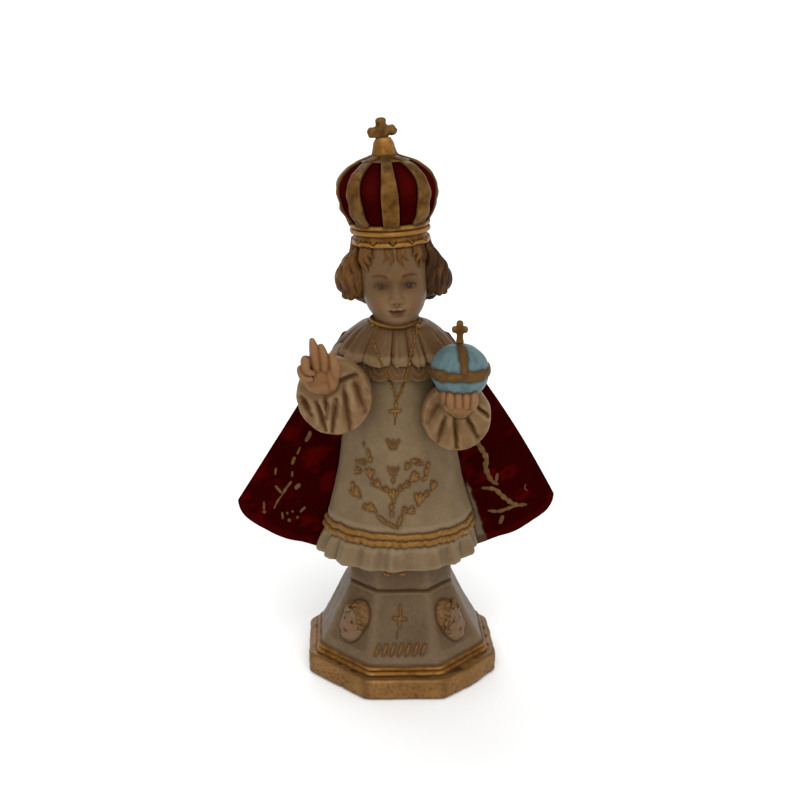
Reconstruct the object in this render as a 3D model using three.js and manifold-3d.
// A painted cast figure of a robed and crowned child, about 130 mm tall, made in one piece with its pedestal.
// Millimetres, +Z up, the front faces -Y, and the origin is the centre of the pedestal's underside.
import * as THREE from "three";
import { LoftGeometry } from "three/addons/geometries/LoftGeometry.js";
import { mergeVertices } from "three/addons/utils/BufferGeometryUtils.js";
import Module from "manifold-3d";

const wasm = await Module();
wasm.setup();

// Pedestal: widths are across the flats of the octagon
const BLOCK_WIDTH = 44.8;
const BLOCK_HEIGHT = 5;
const BLOCK_BEVEL = 0.8;
const CORNER_CUT = 0.7;
const STEP_INSET = 1.6;
const STEP_HEIGHT = 0.9;
const GROOVE_DEPTH = 0.6;
const BEAD_HEIGHT = 1.4;
const SHAFT_FOOT_WIDTH = 39.2;
const SHAFT_TOP_WIDTH = 24.4;
const SHAFT_TOP_FACE = 12;
const SHAFT_HEIGHT = 14.8;
const SHAFT_HOLLOW = 0.3;
const DRUM_INSET = 0.5;
const DRUM_HEIGHT = 7.4;

// Cherub heads on the two front corners of the shaft
const CHERUB_WIDTH = 7.6;
const CHERUB_HEIGHT = 10.6;
const CHERUB_RELIEF = 2.4;
const CHERUB_CURL = 0.4;
const CHERUB_CURLS = 7;

// Dress
const HEM_RADIUS = 19;
const HEM_SHIFT = 0.7;
const HEM_FOLDS = 17;
const HEM_FOLD_DEPTH = 0.45;
const FRILL_HEIGHT = 5.6;
const BAND_RADIUS = 17.4;
const BAND_HEIGHT = 3.4;
const BAND_CORD = 0.7;
const BODICE_RADIUS = 10.4;
const BODY_HEIGHT = 50.5;
const FRONT_SHARE = 0.87;
const TOE_MIDDLE = -1.8;
const TOE_GAP = 1.6;

// Mantle: a cope that hangs from the shoulders and spreads into two wings
const MANTLE_HALF_WIDTH = 39.2;
const MANTLE_SHIFT = 0.5;
const MANTLE_SHOULDER_HALF_WIDTH = 12.4;
const MANTLE_BACK_DEPTH = 21.5;
const MANTLE_SHOULDER_DEPTH = 8.5;
const MANTLE_SWEEP = 10.5;
const MANTLE_EDGE = 1.5;
const MANTLE_DROP = 0.2;
const MANTLE_CORNER_RISE = 8.6;
const MANTLE_BULGE_LEFT = 0.9;
const MANTLE_BULGE_RIGHT = 2;
const MANTLE_FOLDS = 7;
const MANTLE_FOLD_DEPTH = 0.8;
const MANTLE_TURN = 3;

// Collar of two tiers
const NECK_RADIUS = 5.4;
const NECK_FORWARD = 2;
const NECK_RISE = 5.8;
const CAPE_REACH_SIDE = 14.6;
const CAPE_REACH_FRONT = 12.2;
const CAPE_REACH_BACK = 12.6;
const CAPE_DROP = 8;
const CAPE_PLEATS = 15;
const CAPE_PLEAT_DEPTH = 0.55;
const LOWER_TIER_DROP = 4.8;
const LOWER_TIER_LOBES = 16;
const LOWER_TIER_LOBE_DEPTH = 0.3;

// Head
const CHIN_CLEARANCE = -0.4;
const FACE_WIDTH = 14.8;
const FACE_DEPTH = 16.5;
const FACE_SHOWN = 17.9;
const FACE_FORWARD = 3.2;
const NOSE_LENGTH = 4.2;
const NOSE_RISE = 1.3;
const HAIR_HALF_WIDTH = 13.1;
const HAIR_FRONT = 5.4;
const HAIR_BACK = 10.2;
const HAIR_CLEARANCE = 5.6;
const HAIR_NAPE_DROP = 3.6;
const HAIR_LOCKS = 13;
const HAIR_LOCK_DEPTH = 0.45;
const FRINGE_LOCKS = [-2.6, -0.7, 1.2, 3];
const FRINGE_LENGTH = 3.4;
const HEAD_ROLL = 3.3;

// Crown
const CROWN_BAND_RADIUS = 8.7;
const CROWN_BAND_HEIGHT = 4.9;
const CROWN_LIP = 0.4;
const CROWN_FORWARD = 2.2;
const CROWN_TURN = 0.5;
const CROWN_DOME_RADIUS = 10.6;
const CROWN_DOME_HEIGHT = 13.8;
const CROWN_ARCHES = 8;
const CROWN_ARCH_WIDTH = 4;
const CROWN_ARCH_RISE = 0.5;
const KNOB_RADIUS = 2.6;
const KNOB_HEIGHT = 4;
const CROSS_HEIGHT = 4.7;
const CROSS_MIDDLE = 1.8;
const CROSS_SPAN = 6.6;
const CROSS_BAR = 1.9;
const CROSS_THICKNESS = 2.2;

// Arms, given from the shoulder line; the right arm is on the viewer's left
const CUFF_RIGHT = [8.4, 8.9];
const CUFF_LEFT = [7.8, 8];
const CUFF_THICKNESS = 9;
const CUFF_DISH = 2;
const CUFF_GROOVES = 11;
const CUFF_GROOVE_DEPTH = 0.35;
const RIGHT_CUFF = new THREE.Vector3(-14.4, -13.2, -9.1);
const LEFT_CUFF = new THREE.Vector3(12.5, -13.2, -13.7);
const SLEEVE_RADIUS = 4.6;
const SHOULDER_SPREAD = 9.5;
const PALM_WIDTH = 7.2;
const PALM_HEIGHT = 7.6;
const PALM_THICKNESS = 4.6;
const FINGER_RADIUS = 1.05;

// Orb in the left hand
const ORB_RADIUS = 6.45;
const ORB_CROSS_HEIGHT = 5.6;
const ORB_CROSS_SPAN = 3.3;
const ORB_CROSS_BAR = 1.3;

// The casting leans a little to its right above the block
const LEAN = 0.028;

// Mesh fineness
const SKIRT_SIDES = 32;
const MANTLE_SIDES = 48;
const BAND_SIDES = 24;
const HEAD_SIDES = 22;
const ORB_SIDES = 16;
const ROUND_SIDES = 12;
const FINGER_SIDES = 6;

// Levels up the figure, each standing on the last
const stepZ = BLOCK_HEIGHT + STEP_HEIGHT;
const shaftFootZ = stepZ + BEAD_HEIGHT;
const shaftTopZ = shaftFootZ + SHAFT_HEIGHT;
const hemZ = shaftTopZ + DRUM_HEIGHT;
const shoulderZ = hemZ + BODY_HEIGHT;
const neckZ = shoulderZ + NECK_RISE;
const chinZ = neckZ + CHIN_CLEARANCE;
const crownZ = chinZ + FACE_SHOWN;
const domeZ = crownZ + CROWN_BAND_HEIGHT;
const knobZ = domeZ + CROWN_DOME_HEIGHT;
const crossZ = knobZ + KNOB_HEIGHT;

const { sin, cos, abs, sqrt, sign, PI } = Math;
const lerp = THREE.MathUtils.lerp;
const smooth = THREE.MathUtils.smoothstep;
const clamp = THREE.MathUtils.clamp;
const degrees = THREE.MathUtils.degToRad;

// A smooth curve through [place, value] pairs, read at any place.
function profile(pairs) {
  return (at) => {
    const last = pairs.length - 1;
    let i = 0;
    while (i < last - 1 && at > pairs[i + 1][0]) i++;
    const [x0, y0] = pairs[i];
    const [x1, y1] = pairs[i + 1];
    const slope = (k) => {
      const a = pairs[Math.max(k - 1, 0)];
      const b = pairs[Math.min(k + 1, last)];
      return (b[1] - a[1]) / (b[0] - a[0]);
    };
    const span = x1 - x0;
    const t = clamp((at - x0) / span, 0, 1);
    const rise = (y1 - y0) * t * t * (3 - 2 * t);
    return y0 + rise + span * (slope(i) * t * (1 - t) ** 2 - slope(i + 1) * t * t * (1 - t));
  };
}

// A closed geometry as a solid, with its faces turned outwards.
function solid(geometry) {
  const plain = new THREE.BufferGeometry();
  plain.setAttribute("position", geometry.getAttribute("position"));
  if (geometry.index) plain.setIndex(geometry.index);
  const merged = mergeVertices(plain, 1e-4);
  const index = Array.from(merged.index.array);
  const corners = [];
  for (let i = 0; i < index.length; i += 3) {
    const [a, b, c] = index.slice(i, i + 3);
    if (a !== b && b !== c && a !== c) corners.push(a, b, c);
  }
  const vertProperties = new Float32Array(merged.attributes.position.array);
  const made = new wasm.Manifold(
    new wasm.Mesh({ numProp: 3, vertProperties, triVerts: new Uint32Array(corners) }),
  );
  if (made.volume() > 0) return made;
  for (let i = 0; i < corners.length; i += 3)
    [corners[i + 1], corners[i + 2]] = [corners[i + 2], corners[i + 1]];
  return new wasm.Manifold(
    new wasm.Mesh({ numProp: 3, vertProperties, triVerts: new Uint32Array(corners) }),
  );
}

// A stack of closed sections as a geometry with flat ends.
function loft(sections) {
  return new LoftGeometry(sections, { capStart: true, capEnd: true });
}

// One horizontal section: pointAt gives [x, y] or [x, y, z] for an angle from +X towards +Y.
function section(sides, z, pointAt) {
  return Array.from({ length: sides }, (_, i) => {
    const [x, y, own = z] = pointAt((i / sides) * 2 * PI);
    return new THREE.Vector3(x, y, own);
  });
}

// Fractions from 0 to 1, ends included.
function steps(count) {
  return Array.from({ length: count + 1 }, (_, i) => i / count);
}

function ellipsoid(centre, radii, sides = ROUND_SIDES) {
  return new THREE.SphereGeometry(1, sides, Math.round(sides * 0.6))
    .scale(...radii)
    .translate(...centre);
}

// A round-ended limb between two points that narrows from one radius to the other.
function limb(from, to, startRadius, endRadius, sides = 10) {
  const line = new THREE.Vector3().subVectors(to, from);
  const length = line.length();
  const shape = new THREE.CapsuleGeometry(1, length, sides > 10 ? 3 : 2, sides);
  const places = shape.attributes.position;
  for (let i = 0; i < places.count; i++) {
    const y = places.getY(i);
    const along = clamp(y / length + 0.5, 0, 1);
    const radius = lerp(startRadius, endRadius, along);
    const beyond = y - clamp(y, -length / 2, length / 2);
    places.setXYZ(
      i,
      places.getX(i) * radius,
      y - beyond + beyond * radius,
      places.getZ(i) * radius,
    );
  }
  const turn = new THREE.Quaternion().setFromUnitVectors(
    new THREE.Vector3(0, 1, 0),
    line.normalize(),
  );
  const middle = new THREE.Vector3().addVectors(from, to).multiplyScalar(0.5);
  return shape.applyQuaternion(turn).translate(middle.x, middle.y, middle.z);
}

// An octagon with small cut corners: width is across the flats, face is the length of its front.
function octagon(width, z, face = width * Math.tan(PI / 8)) {
  const half = width / 2;
  const side = face / 2;
  const corners = [];
  for (const [x, y] of [[half, side], [side, half]]) corners.push(new THREE.Vector2(x, y));
  for (let k = 1; k < 4; k++)
    for (const corner of corners.slice(0, 2))
      corners.push(corner.clone().rotateAround(new THREE.Vector2(), (k * PI) / 2));
  return corners.flatMap((corner, k) =>
    [corners[(k + 7) % 8], corners[(k + 1) % 8]].map((next) => {
      const towards = next.clone().sub(corner).setLength(CORNER_CUT).add(corner);
      return new THREE.Vector3(towards.x, towards.y, z);
    }),
  );
}

function shaftWidth(share) {
  const straight = lerp(SHAFT_FOOT_WIDTH, SHAFT_TOP_WIDTH, share);
  return straight - SHAFT_HOLLOW * 2 * sin(share * PI);
}

function shaftFace(share) {
  return lerp(SHAFT_FOOT_WIDTH * Math.tan(PI / 8), SHAFT_TOP_FACE, share);
}

function pedestal() {
  const stepWidth = BLOCK_WIDTH - 2 * STEP_INSET;
  const rows = [
    octagon(BLOCK_WIDTH - BLOCK_BEVEL, 0),
    octagon(BLOCK_WIDTH, BLOCK_BEVEL / 2),
    octagon(BLOCK_WIDTH, BLOCK_HEIGHT - BLOCK_BEVEL),
    octagon(BLOCK_WIDTH - 2 * BLOCK_BEVEL, BLOCK_HEIGHT),
    octagon(stepWidth, BLOCK_HEIGHT),
    octagon(stepWidth, stepZ),
    octagon(stepWidth - 2 * GROOVE_DEPTH - 0.4, stepZ + BEAD_HEIGHT * 0.2),
    octagon(stepWidth - GROOVE_DEPTH - 0.4, stepZ + BEAD_HEIGHT * 0.45),
    octagon(stepWidth - GROOVE_DEPTH - 0.4, stepZ + BEAD_HEIGHT * 0.8),
  ];
  for (const share of steps(2))
    rows.push(octagon(shaftWidth(share), shaftFootZ + share * SHAFT_HEIGHT, shaftFace(share)));
  const drumWidth = SHAFT_TOP_WIDTH - DRUM_INSET;
  rows.push(octagon(drumWidth - DRUM_INSET, shaftTopZ + 0.3, SHAFT_TOP_FACE));
  rows.push(octagon(drumWidth, shaftTopZ + 0.9, SHAFT_TOP_FACE));
  rows.push(octagon(drumWidth, hemZ + 1, SHAFT_TOP_FACE));
  return [loft(rows)];
}

// A curly child's head in relief on a front corner face; side is -1 on the viewer's left.
function cherub(side) {
  const middleShare = 0.5;
  const faceZ = shaftFootZ + middleShare * SHAFT_HEIGHT;
  const slope = Math.atan((SHAFT_FOOT_WIDTH - SHAFT_TOP_WIDTH) / 2 / SHAFT_HEIGHT);
  const face = ellipsoid([0, 0, 0], [CHERUB_WIDTH / 2, CHERUB_RELIEF, CHERUB_HEIGHT / 2]);
  const wig = new THREE.SphereGeometry(1, CHERUB_CURLS * 3, 6);
  const places = wig.attributes.position;
  for (let i = 0; i < places.count; i++) {
    const x = places.getX(i);
    const z = places.getZ(i);
    const curl = CHERUB_CURL * cos(CHERUB_CURLS * Math.atan2(z, x)) * Math.hypot(x, z);
    places.setX(i, x * (CHERUB_WIDTH / 2 + curl + 0.3) - side * CHERUB_WIDTH * 0.09);
    places.setY(i, places.getY(i) * CHERUB_RELIEF * 0.8);
    places.setZ(i, z * (CHERUB_HEIGHT / 2 + curl - 0.6) + CHERUB_HEIGHT * 0.14);
  }
  const pieces = [face, wig];
  const out = shaftWidth(middleShare) / 2;
  const turn = (side * PI) / 4;
  return pieces.map((piece) =>
    piece
      .rotateX(-slope)
      .rotateZ(turn)
      .translate(out * sin(turn), -out * cos(turn), faceZ),
  );
}

// Two toes that look out from under the hem.
function toes() {
  const reach = SHAFT_TOP_WIDTH / 2 + 2.7;
  return [-1, 1].map((side) =>
    ellipsoid([TOE_MIDDLE + side * TOE_GAP, -reach, hemZ - 0.75], [1.25, 1.9, 0.85], 8),
  );
}

function dress() {
  const radiusAt = profile([
    [0, HEM_RADIUS - 0.5],
    [0.9, HEM_RADIUS],
    [FRILL_HEIGHT * 0.5, HEM_RADIUS - 0.7],
    [FRILL_HEIGHT, BAND_RADIUS],
    [FRILL_HEIGHT + BAND_HEIGHT, BAND_RADIUS - 0.6],
    [18, lerp(BAND_RADIUS, BODICE_RADIUS, 0.36)],
    [28, lerp(BAND_RADIUS, BODICE_RADIUS, 0.6)],
    [38, lerp(BAND_RADIUS, BODICE_RADIUS, 0.83)],
    [BODY_HEIGHT - 5, BODICE_RADIUS],
    [BODY_HEIGHT, BODICE_RADIUS * 0.85],
  ]);
  const ring = (sides, height, fold, cord) =>
    section(sides, hemZ + height, (angle) => {
      const radius = radiusAt(height) + fold * cos(HEM_FOLDS * angle) + cord;
      const depth = sin(angle) < 0 ? lerp(FRONT_SHARE, 1, smooth(height, 22, BODY_HEIGHT)) : 1;
      const shift = HEM_SHIFT * (1 - smooth(height, 0, FRILL_HEIGHT + BAND_HEIGHT));
      return [radius * cos(angle) - shift, radius * sin(angle) * depth];
    });
  const frill = [0, 0.9, FRILL_HEIGHT * 0.5, FRILL_HEIGHT].map((height) =>
    ring(HEM_FOLDS * 3, height, HEM_FOLD_DEPTH * (1 - smooth(height, 0, FRILL_HEIGHT * 1.1)), 0),
  );
  const skirt = [-0.1, 0.25, 0.5, 0.75, 1.05].map((share) =>
    ring(SKIRT_SIDES, FRILL_HEIGHT + share * BAND_HEIGHT, 0, BAND_CORD * abs(sin(share * 2 * PI))),
  );
  for (const share of steps(4).slice(1))
    skirt.push(ring(SKIRT_SIDES, lerp(FRILL_HEIGHT + BAND_HEIGHT, BODY_HEIGHT, share), 0, 0));
  return [loft(frill), loft(skirt)];
}

// A point of the mantle: angle runs round it from its left corner, share runs from hem to shoulder.
function mantlePoint(angle, share) {
  const across = cos(angle);
  const spread = lerp(
    MANTLE_HALF_WIDTH,
    MANTLE_SHOULDER_HALF_WIDTH,
    share + 0.05 * sin(share * PI),
  );
  const corner = clamp((abs(across) - 0.52) / 0.48, 0, 1);
  const hem = hemZ - MANTLE_DROP + MANTLE_CORNER_RISE * (1 - sqrt(1 - corner * corner));
  const z = lerp(hem, shoulderZ + 1, share);
  const open = 1 - share;
  const back = lerp(MANTLE_BACK_DEPTH, MANTLE_SHOULDER_DEPTH, share) * (1 - across * across);
  const edge = MANTLE_EDGE * sqrt(1 - across ** 8);
  const folds = MANTLE_FOLD_DEPTH * open * cos(MANTLE_FOLDS * PI * across);
  const swept = -2 * open + MANTLE_SWEEP * across * across * lerp(0.3, 1, open);
  const behind = sin(angle) >= 0;
  const y = behind ? swept + back + edge + folds * (1 - across ** 8) : swept - edge + folds * 0.6;
  const bulge = (across > 0 ? MANTLE_BULGE_RIGHT : MANTLE_BULGE_LEFT) * sin(share * PI);
  const x = across * (spread + bulge) + MANTLE_SHIFT * open;
  const turn = degrees(MANTLE_TURN) * open;
  return [x * cos(turn) - y * sin(turn), x * sin(turn) + y * cos(turn), z];
}

function mantle() {
  const rows = steps(8).map((share) =>
    section(MANTLE_SIDES, 0, (angle) => mantlePoint(angle, share)),
  );
  return [loft(rows)];
}

// How far a collar reaches from the neck's axis towards an angle.
function capeReach(angle) {
  const ahead = -sin(angle);
  const middle = ahead > 0 ? CAPE_REACH_FRONT : CAPE_REACH_BACK;
  return sqrt((CAPE_REACH_SIDE * cos(angle)) ** 2 + (middle * sin(angle)) ** 2);
}

function collar() {
  const edgeZ = neckZ - CAPE_DROP;
  const upper = [-0.12, 0, 0.15, 0.5, 0.8, 1].map((share) => {
    const fall = clamp(1 - share, 0, 1);
    return section(CAPE_PLEATS * 3, 0, (angle) => {
      const pleat = CAPE_PLEAT_DEPTH * cos(CAPE_PLEATS * angle) * fall;
      const bow = 1.3 * sin(clamp(share, 0, 1) * PI);
      const under = share < 0 ? 0.8 : 0;
      const radius = lerp(capeReach(angle), NECK_RADIUS, clamp(share, 0, 1)) + pleat - under;
      const z = lerp(edgeZ, neckZ, share) + bow - pleat;
      const ahead = NECK_FORWARD * clamp(share, 0, 1) ** 2;
      return [radius * cos(angle), radius * sin(angle) - ahead, z];
    });
  });
  const lower = [-0.15, 0, 1].map((share) =>
    section(LOWER_TIER_LOBES * 2, 0, (angle) => {
      const lobe = abs(cos((LOWER_TIER_LOBES * angle) / 2));
      const reach = lerp(capeReach(angle), BODICE_RADIUS + 1.2, 0.55);
      const under = share < 0 ? 0.6 : 0;
      const radius = reach - 0.9 * share + LOWER_TIER_LOBE_DEPTH * lobe - under;
      const z = edgeZ + 1 - LOWER_TIER_DROP * (1 - share) - 0.5 * lobe * (1 - share);
      return [radius * cos(angle), radius * sin(angle), z];
    }),
  );
  return [loft(upper), loft(lower)];
}

// The face is a plain child's oval with a full brow, round cheeks, a short nose and a small chin.
function head() {
  const widthAt = profile([
    [0, 0.22],
    [0.03, 0.44],
    [0.1, 0.68],
    [0.25, 0.89],
    [0.4, 0.97],
    [0.6, 1],
    [0.8, 0.99],
    [1, 0.9],
  ]);
  const frontAt = profile([
    [0, 0.74],
    [0.03, 0.93],
    [0.1, 1.01],
    [0.2, 0.96],
    [0.4, 1],
    [0.56, 0.96],
    [0.7, 1.02],
    [0.88, 0.98],
    [1, 0.86],
  ]);
  const half = FACE_DEPTH / 2;
  const rows = [0, 0.03, 0.1, 0.2, 0.3, 0.42, 0.56, 0.7, 0.86, 1].map((share) =>
    section(HEAD_SIDES, lerp(chinZ, crownZ + 0.6, share), (angle) => {
      const x = cos(angle);
      const ahead = Math.max(-sin(angle), 0);
      const cheek = Math.exp(-(((share - 0.3) / 0.14) ** 2)) * x * x * ahead;
      const socket = Math.exp(-(((share - 0.53) / 0.1) ** 2) - ((abs(x) - 0.45) / 0.25) ** 2);
      const front = half * (frontAt(share) - 0.05 * socket + 0.1 * cheek);
      const y = sin(angle) * (sin(angle) < 0 ? front : half * 0.6);
      return [(x * widthAt(share) * FACE_WIDTH) / 2, y - FACE_FORWARD];
    }),
  );
  const noseZ = chinZ + FACE_SHOWN * 0.38;
  const bridge = -FACE_FORWARD - half + 1.1;
  const nose = limb(
    new THREE.Vector3(0, bridge, noseZ + NOSE_LENGTH),
    new THREE.Vector3(0, bridge - NOSE_RISE, noseZ),
    0.7,
    1.1,
    8,
  );
  const neck = new THREE.CylinderGeometry(NECK_RADIUS - 0.8, NECK_RADIUS, neckZ - shoulderZ + 4, 16)
    .rotateX(PI / 2)
    .translate(0, -NECK_FORWARD, (neckZ + shoulderZ) / 2 + 2);
  return [loft(rows), nose, neck];
}

function hair() {
  const hairZ = chinZ + HAIR_CLEARANCE;
  const widthAt = profile([
    [0, 0.72],
    [0.07, 0.86],
    [0.18, 0.97],
    [0.34, 0.99],
    [0.52, 0.9],
    [0.75, 0.74],
    [1, 0.65],
  ]);
  const rows = [0, 0.06, 0.16, 0.3, 0.45, 0.62, 0.8, 1].map((share) =>
    section(HAIR_LOCKS * 3, 0, (angle) => {
      const wave = share * 7 + 1.5 * cos(angle);
      const lock = 1 + (HAIR_LOCK_DEPTH / HAIR_HALF_WIDTH) * cos(HAIR_LOCKS * angle + wave);
      const halfWidth = HAIR_HALF_WIDTH * widthAt(share) * lock;
      const behind = sin(angle) > 0;
      const depth = behind ? HAIR_BACK * lerp(0.85, widthAt(share), 0.7) : HAIR_FRONT;
      const squared = behind ? 0.8 : 1;
      const x = sign(cos(angle)) * abs(cos(angle)) ** squared * halfWidth;
      const y = sign(sin(angle)) * abs(sin(angle)) ** squared * depth * lock;
      const fall = HAIR_NAPE_DROP * Math.max(sin(angle), 0) * (1 - share) ** 2;
      return [x, y, lerp(hairZ, crownZ + 1, share) - fall];
    }),
  );
  const brow = -FACE_FORWARD - FACE_DEPTH / 2;
  const fringe = FRINGE_LOCKS.map((x, i) =>
    limb(
      new THREE.Vector3(x * 1.15, brow + 1.3 + abs(x) * 0.2, crownZ),
      new THREE.Vector3(x, brow + 0.5 + abs(x) * 0.2, crownZ - FRINGE_LENGTH + (i % 2)),
      1,
      0.6,
      FINGER_SIDES,
    ),
  );
  return [loft(rows), ...fringe];
}

// The dome's radius at a share of its height, from the band to the knob.
const domeRadius = profile([
  [0, CROWN_BAND_RADIUS - 0.3],
  [0.14, lerp(CROWN_BAND_RADIUS, CROWN_DOME_RADIUS, 0.5)],
  [0.32, CROWN_DOME_RADIUS * 0.97],
  [0.48, CROWN_DOME_RADIUS],
  [0.62, CROWN_DOME_RADIUS * 0.97],
  [0.76, CROWN_DOME_RADIUS * 0.85],
  [0.9, CROWN_DOME_RADIUS * 0.6],
  [1, KNOB_RADIUS],
]);

function crown() {
  const round = (sides, radius, z) =>
    section(sides, z, (angle) => [radius * cos(angle), radius * sin(angle)]);
  const lip = CROWN_BAND_RADIUS - CROWN_LIP;
  const band = [
    [CROWN_BAND_RADIUS - 0.8, -0.1],
    [CROWN_BAND_RADIUS, 0],
    [CROWN_BAND_RADIUS, 0.2],
    [lip, 0.26],
    [lip, 0.5],
    [CROWN_BAND_RADIUS + 0.25, 0.58],
    [CROWN_BAND_RADIUS + 0.2, 1],
  ].map(([radius, share]) => round(BAND_SIDES, radius, crownZ + share * CROWN_BAND_HEIGHT));
  const gap = (2 * PI) / CROWN_ARCHES;
  const edge = CROWN_ARCH_WIDTH / 2 / CROWN_DOME_RADIUS;
  const stations = [-edge - 0.04, -edge + 0.03, edge - 0.03, edge + 0.04, gap / 2];
  const dome = [-0.03, ...steps(7)].map((share) => {
    const points = [];
    for (let k = 0; k < CROWN_ARCHES; k++) {
      for (const off of stations) {
        const raised = abs(off) < edge ? CROWN_ARCH_RISE * smooth(1 - share, 0, 0.15) : 0;
        const radius = domeRadius(share) + raised - (share < 0 ? CROWN_LIP : 0);
        const angle = k * gap + off - PI / 2;
        const z = domeZ + share * CROWN_DOME_HEIGHT;
        points.push(new THREE.Vector3(radius * cos(angle), radius * sin(angle), z));
      }
    }
    return points;
  });
  const knob = [[-0.1, 1.1], [0.1, 1], [0.45, 0.86], [0.8, 0.78], [1, 0.66]].map(
    ([share, factor]) => round(ROUND_SIDES, KNOB_RADIUS * factor, knobZ + share * KNOB_HEIGHT),
  );
  return [
    loft(band),
    loft(dome),
    loft(knob),
    cross([CROSS_SPAN, CROSS_HEIGHT, CROSS_THICKNESS], CROSS_BAR, CROSS_MIDDLE, crossZ - 0.5),
  ].map((piece) => piece.rotateZ(degrees(CROWN_TURN)).translate(0, -CROWN_FORWARD, 0));
}

// A small cross with flared arms, standing on the given level and facing the front.
function cross([span, height, thickness], bar, middle, z) {
  const half = bar / 2;
  const arm = span / 2;
  const flare = half * 1.15;
  const quarter = [
    [half, middle - flare * 0.9],
    [arm, middle - flare],
    [arm, middle + flare],
    [half, middle + flare * 0.9],
    [flare, height],
  ];
  const outline = new THREE.Shape();
  outline.moveTo(half, 0);
  for (const [x, y] of quarter) outline.lineTo(x, y);
  for (const [x, y] of [...quarter].reverse()) outline.lineTo(-x, y);
  outline.lineTo(-half, 0);
  return new THREE.ExtrudeGeometry(outline, { depth: thickness, bevelEnabled: false })
    .rotateX(PI / 2)
    .translate(0, thickness / 2, z);
}

// A gathered cuff: a dished pouch with a smooth rim and soft grooves that spread from the wrist.
function cuff(centre, [halfWidth, halfHeight]) {
  const pouch = new THREE.SphereGeometry(1, CUFF_GROOVES * 2, 8);
  const places = pouch.attributes.position;
  for (let i = 0; i < places.count; i++) {
    const x = places.getX(i);
    const y = places.getY(i);
    const z = places.getZ(i);
    const away = Math.hypot(x, z);
    const below = smooth(-z, -0.2, 0.3);
    const ridge = cos(CUFF_GROOVES * Math.atan2(z, -x)) * smooth(away, 0.1, 0.4) * (1 - away) * 3;
    const ahead = smooth(-y, -0.1, 0.3);
    const dish = CUFF_DISH * Math.max(1 - (away / 0.93) ** 2, 0);
    const depth = sign(y) * abs(y) ** 0.75 * (CUFF_THICKNESS / 2);
    const carved = (dish - CUFF_GROOVE_DEPTH * ridge * below) * ahead;
    places.setXYZ(i, x * halfWidth, depth + carved, z * halfHeight);
  }
  return pouch.translate(centre.x, centre.y, centre.z);
}

// A finger through places measured from the palm's middle, one limb between each two.
function finger(palm, places, thickness) {
  const spots = places.map((place) => new THREE.Vector3(...place).add(palm));
  const radius = FINGER_RADIUS * thickness;
  return spots
    .slice(1)
    .map((spot, i) => limb(spots[i], spot, radius, radius * 0.88, FINGER_SIDES));
}

// The raised right arm: a sleeve, its cuff and a blessing hand.
function rightArm() {
  const place = RIGHT_CUFF.clone().setZ(shoulderZ + RIGHT_CUFF.z);
  const shoulder = new THREE.Vector3(-SHOULDER_SPREAD, 0.5, shoulderZ - 3);
  const elbow = new THREE.Vector3(place.x - 0.6, place.y * 0.45, place.z + 0.6);
  const palm = new THREE.Vector3(place.x - 2.9, place.y - 6.6, place.z + 5.7);
  return [
    limb(shoulder, elbow, SLEEVE_RADIUS, SLEEVE_RADIUS, 12),
    cuff(place, CUFF_RIGHT),
    limb(new THREE.Vector3(palm.x + 1.6, place.y, palm.z - 2.6), palm, 2.6, 2.6, 8),
    ellipsoid(palm.toArray(), [PALM_WIDTH / 2, PALM_THICKNESS / 2, PALM_HEIGHT / 2], 10),
    ...finger(palm, [[-0.9, -0.6, 1], [-1.3, -2, 9.4]], 1.15),
    ...finger(palm, [[0.9, -0.5, 1], [0.3, -1.4, 8]], 1.15),
    ...finger(palm, [[2.8, -0.5, -0.4], [2.8, -1.2, 6]], 1.1),
    ...finger(palm, [[-2, 0.2, 2], [-2.9, -1.3, 4.4], [-1.4, -2.4, 2]], 1.05),
    ...finger(palm, [[-2.8, 0.2, 0.6], [-3.9, -1.2, 2.4], [-2, -2.6, 0.8]], 0.95),
  ];
}

// The left arm: a sleeve, its cuff and a hand that holds up the orb.
function leftArm() {
  const place = LEFT_CUFF.clone().setZ(shoulderZ + LEFT_CUFF.z);
  const shoulder = new THREE.Vector3(SHOULDER_SPREAD, 0.5, shoulderZ - 3);
  const elbow = new THREE.Vector3(place.x + 0.6, place.y * 0.45, place.z + 2);
  const palm = new THREE.Vector3(place.x + 0.4, place.y - 5, place.z + 4.9);
  const orb = new THREE.Vector3(palm.x + 0.4, palm.y + 2.6, palm.z + 6.35);
  const fingers = steps(3).map((share) => {
    const x = lerp(-2.4, 2.9, share);
    return limb(
      new THREE.Vector3(palm.x + x * 0.8, palm.y - 1.5, palm.z - 1.4),
      new THREE.Vector3(palm.x + x, palm.y - 2, palm.z + 2.6 - abs(x) * 0.1),
      FINGER_RADIUS * 1.1,
      FINGER_RADIUS,
      FINGER_SIDES,
    );
  });
  return [
    limb(shoulder, elbow, SLEEVE_RADIUS, SLEEVE_RADIUS, 12),
    cuff(place, CUFF_LEFT),
    ellipsoid(palm.toArray(), [PALM_WIDTH * 0.56, PALM_THICKNESS * 0.6, PALM_HEIGHT * 0.4], 10),
    ...fingers,
    ...orbPieces(orb),
  ];
}

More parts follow.
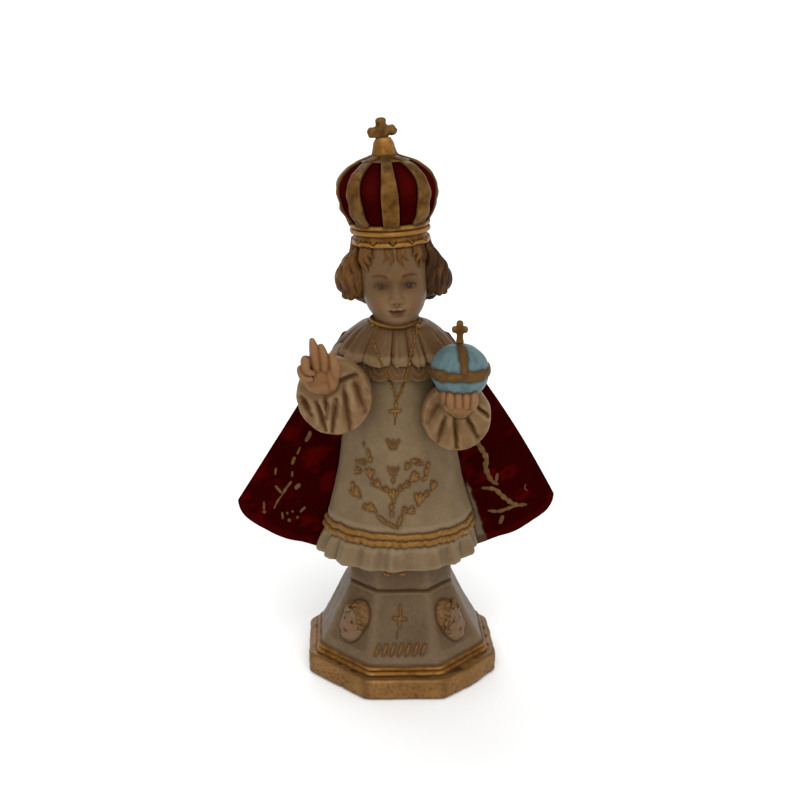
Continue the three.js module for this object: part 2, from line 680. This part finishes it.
function orbPieces(centre) {
  const stem = ORB_CROSS_HEIGHT * 0.25;
  const tall = ORB_CROSS_HEIGHT - stem;
  return [
    new THREE.SphereGeometry(ORB_RADIUS, ORB_SIDES, 11),
    new THREE.CylinderGeometry(0.75, 1.4, stem + 0.6, 8)
      .rotateX(PI / 2)
      .translate(0, 0, ORB_RADIUS + stem / 2 - 0.3),
    cross([ORB_CROSS_SPAN, tall, 1.4], ORB_CROSS_BAR, tall * 0.5, ORB_RADIUS + stem - 0.2),
  ].map((piece) => piece.translate(centre.x, centre.y, centre.z));
}

// Turns the head, hair and crown about the neck.
function rolled(pieces) {
  return pieces.map((piece) =>
    piece.translate(0, 0, -neckZ).rotateY(degrees(-HEAD_ROLL)).translate(0, 0, neckZ),
  );
}

// Leans every point above the block to the figure's right.
function leant(geometry) {
  const places = geometry.attributes.position;
  for (let i = 0; i < places.count; i++) {
    const rise = Math.max(places.getZ(i) - BLOCK_HEIGHT, 0);
    places.setX(i, places.getX(i) - LEAN * rise);
  }
  return geometry;
}

const pieces = [
  ...pedestal(),
  ...cherub(-1),
  ...cherub(1),
  ...toes(),
  ...dress(),
  ...mantle(),
  ...collar(),
  ...rightArm(),
  ...leftArm(),
  ...rolled([...head(), ...hair(), ...crown()]),
];

let casting = null;
for (const piece of pieces) {
  const next = solid(leant(piece));
  casting = casting ? casting.add(next) : next;
}

// Fills the small pockets of air that joined forms close off between them.
function withoutPockets(made) {
  const bodies = made.decompose().filter((body) => body.volume() > 0);
  return bodies.reduce((whole, body) => whole.add(body));
}

function meshOf(name, made, material) {
  const { vertProperties, triVerts } = made.getMesh();
  const geometry = new THREE.BufferGeometry();
  geometry.setAttribute("position", new THREE.BufferAttribute(vertProperties, 3));
  geometry.setIndex(new THREE.BufferAttribute(triVerts, 1));
  geometry.computeVertexNormals();
  const mesh = new THREE.Mesh(geometry, material);
  mesh.name = name;
  return mesh;
}

const ivory = new THREE.MeshStandardMaterial({ color: 0xb9a283, roughness: 0.45, metalness: 0 });

const group = new THREE.Group();
group.add(meshOf("statue", withoutPockets(casting), ivory));
export default group;
